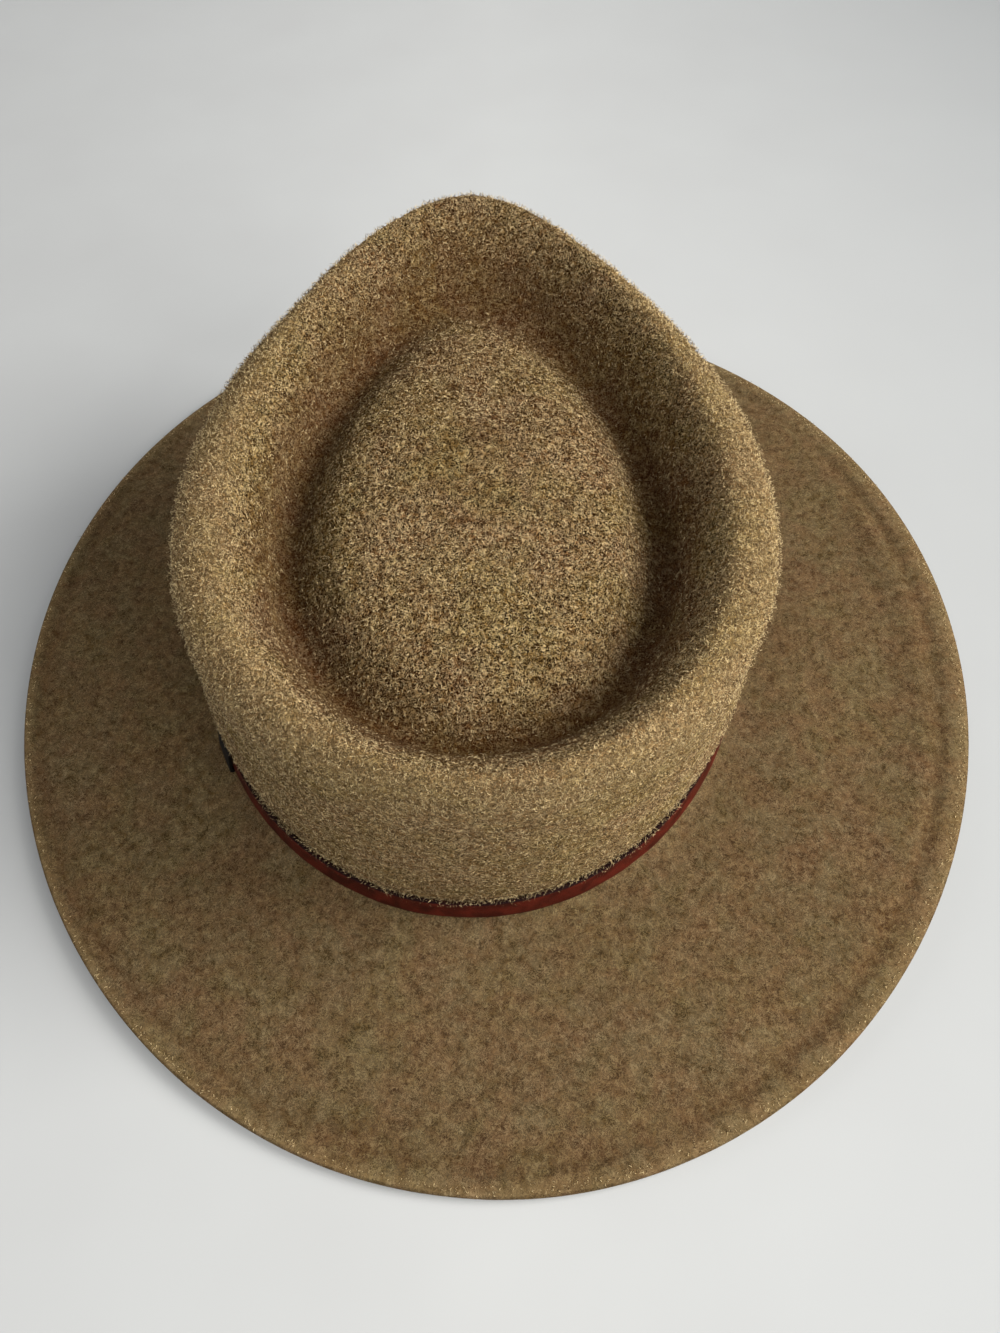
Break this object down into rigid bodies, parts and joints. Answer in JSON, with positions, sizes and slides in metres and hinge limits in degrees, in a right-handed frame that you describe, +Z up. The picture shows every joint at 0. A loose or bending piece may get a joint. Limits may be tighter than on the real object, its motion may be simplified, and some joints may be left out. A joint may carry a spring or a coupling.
{
  "type": "outback hat",
  "caption": "Wool felt outback hat with a teardrop crown, a wide oval brim with a grooved lip, and a slim leather band.",
  "frame": {"origin": "on the surface that the brim rests on, under the middle of the brim's outline", "axes": "+Z up through the crown, front of the hat towards -Y, wearer's left towards +X"},
  "size_m": [0.3212, 0.3538, 0.1183],
  "materials": {
    "wool_felt": "heathered brown wool felt, brushed, matt",
    "band_leather": "red-brown strap leather, satin",
    "keeper_leather": "black leather, satin"
  },
  "bodies": {
    "root": {"felt_body": "wool_felt", "leather_band": "band_leather", "band_keeper": "keeper_leather"}
  },
  "joints": []
}
